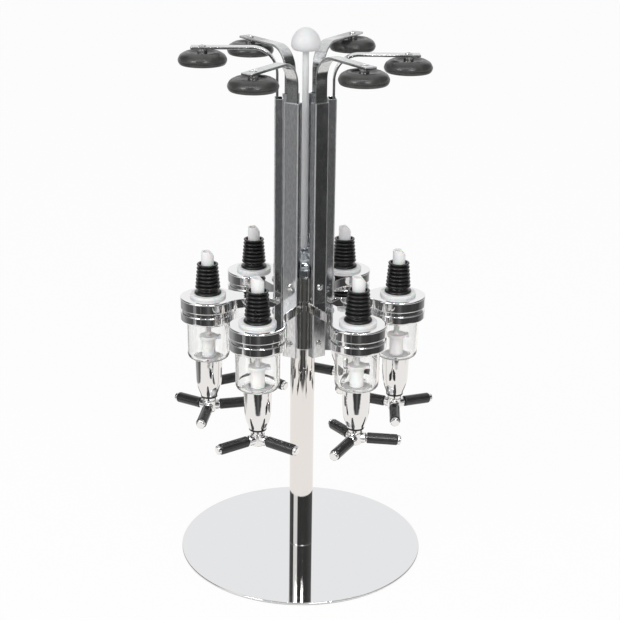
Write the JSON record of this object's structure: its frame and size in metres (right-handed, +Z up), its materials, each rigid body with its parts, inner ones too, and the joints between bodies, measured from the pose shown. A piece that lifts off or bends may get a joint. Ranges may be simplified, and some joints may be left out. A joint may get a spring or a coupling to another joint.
{
  "type": "party shot dispenser",
  "caption": "Rotary stand that holds upturned spirit bottles on measuring valves worked by lever arms, on a round mirror base with a lifting knob.",
  "frame": {"origin": "centre of the mat's flat underside, on the pole's axis", "axes": "+Z up along the pole and the lifting rod; +X from the pole towards the first measure"},
  "size_m": [0.274, 0.2577, 0.557],
  "materials": {
    "mirror_steel": "mirror polished steel, bright chrome plated",
    "plated_plastic": "bright chrome plating on moulded ABS",
    "bare_steel": "plain zinc or stainless hardware",
    "black_rubber": "soft satin black rubber",
    "black_plastic": "glossy black plastic",
    "white_plastic": "glossy white plastic",
    "clear_plastic": "clear moulded plastic"
  },
  "bodies": {
    "stand": {"base_mat": "black_rubber", "base_disc": "mirror_steel", "center_pole": "mirror_steel", "pole_plug": "bare_steel", "base_screw": "bare_steel", "hub_seat_ring": "mirror_steel"},
    "rotor": {"hub_sleeve": "plated_plastic", "dome_cap": "plated_plastic", "lift_rod": "mirror_steel", "lift_knob": "white_plastic", "rail_1": "mirror_steel", "rail_2": "mirror_steel", "rail_3": "mirror_steel", "rail_4": "mirror_steel", "rail_5": "mirror_steel", "rail_6": "mirror_steel", "measure_collar_1": "plated_plastic", "measure_collar_2": "plated_plastic", "measure_collar_3": "plated_plastic", "measure_collar_4": "plated_plastic", "measure_collar_5": "plated_plastic", "measure_collar_6": "plated_plastic", "rail_screws": "bare_steel", "clamp_rings": "plated_plastic", "shot_chambers": "clear_plastic", "valve_tubes": "white_plastic", "rubber_corks": "black_rubber", "nozzles": "plated_plastic", "mouth_rings": "black_plastic", "return_springs": "bare_steel"},
    "arm_1": {"arm_bar_1": "mirror_steel", "bottle_pad_1": "black_rubber", "pad_bolt_1": "bare_steel"},
    "plunger_1": {"lever_spider_1": "mirror_steel", "lever_grips_1": "black_plastic"},
    "arm_2": {"arm_bar_2": "mirror_steel", "bottle_pad_2": "black_rubber", "pad_bolt_2": "bare_steel"},
    "plunger_2": {"lever_spider_2": "mirror_steel", "lever_grips_2": "black_plastic"},
    "arm_3": {"arm_bar_3": "mirror_steel", "bottle_pad_3": "black_rubber", "pad_bolt_3": "bare_steel"},
    "plunger_3": {"lever_spider_3": "mirror_steel", "lever_grips_3": "black_plastic"},
    "arm_4": {"arm_bar_4": "mirror_steel", "bottle_pad_4": "black_rubber", "pad_bolt_4": "bare_steel"},
    "plunger_4": {"lever_spider_4": "mirror_steel", "lever_grips_4": "black_plastic"},
    "arm_5": {"arm_bar_5": "mirror_steel", "bottle_pad_5": "black_rubber", "pad_bolt_5": "bare_steel"},
    "plunger_5": {"lever_spider_5": "mirror_steel", "lever_grips_5": "black_plastic"},
    "arm_6": {"arm_bar_6": "mirror_steel", "bottle_pad_6": "black_rubber", "pad_bolt_6": "bare_steel"},
    "plunger_6": {"lever_spider_6": "mirror_steel", "lever_grips_6": "black_plastic"}
  },
  "joints": [
    {"name": "rotor_turn", "type": "hinge", "parent": "stand", "child": "rotor", "pos_m": [0, 0, 0.27], "axis": [0, 0, 1], "continuous": true},
    {"name": "arm_1_slide", "type": "slide", "parent": "rotor", "child": "arm_1", "axis": [0, 0, 1], "range_m": [-0.0036, 0.1064]},
    {"name": "arm_2_slide", "type": "slide", "parent": "rotor", "child": "arm_2", "axis": [0, 0, 1], "range_m": [-0.0098, 0.1002]},
    {"name": "arm_3_slide", "type": "slide", "parent": "rotor", "child": "arm_3", "axis": [0, 0, 1], "range_m": [-0.0055, 0.1045]},
    {"name": "arm_4_slide", "type": "slide", "parent": "rotor", "child": "arm_4", "axis": [0, 0, 1], "range_m": [-0.0101, 0.0999]},
    {"name": "arm_5_slide", "type": "slide", "parent": "rotor", "child": "arm_5", "axis": [0, 0, 1], "range_m": [-0.0016, 0.1084]},
    {"name": "arm_6_slide", "type": "slide", "parent": "rotor", "child": "arm_6", "axis": [0, 0, 1], "range_m": [-0.0078, 0.1022]},
    {"name": "lever_1_press", "type": "slide", "parent": "rotor", "child": "plunger_1", "axis": [0, 0, 1], "range_m": [0, 0.0045], "stiffness_N_per_m": 500, "springref_m": -0.008, "deforming": ["return_springs"]},
    {"name": "lever_2_press", "type": "slide", "parent": "rotor", "child": "plunger_2", "axis": [0, 0, 1], "range_m": [0, 0.0045], "stiffness_N_per_m": 500, "springref_m": -0.008},
    {"name": "lever_3_press", "type": "slide", "parent": "rotor", "child": "plunger_3", "axis": [0, 0, 1], "range_m": [0, 0.0045], "stiffness_N_per_m": 500, "springref_m": -0.008},
    {"name": "lever_4_press", "type": "slide", "parent": "rotor", "child": "plunger_4", "axis": [0, 0, 1], "range_m": [0, 0.0045], "stiffness_N_per_m": 500, "springref_m": -0.008},
    {"name": "lever_5_press", "type": "slide", "parent": "rotor", "child": "plunger_5", "axis": [0, 0, 1], "range_m": [0, 0.0045], "stiffness_N_per_m": 500, "springref_m": -0.008},
    {"name": "lever_6_press", "type": "slide", "parent": "rotor", "child": "plunger_6", "axis": [0, 0, 1], "range_m": [0, 0.0045], "stiffness_N_per_m": 500, "springref_m": -0.008}
  ]
}
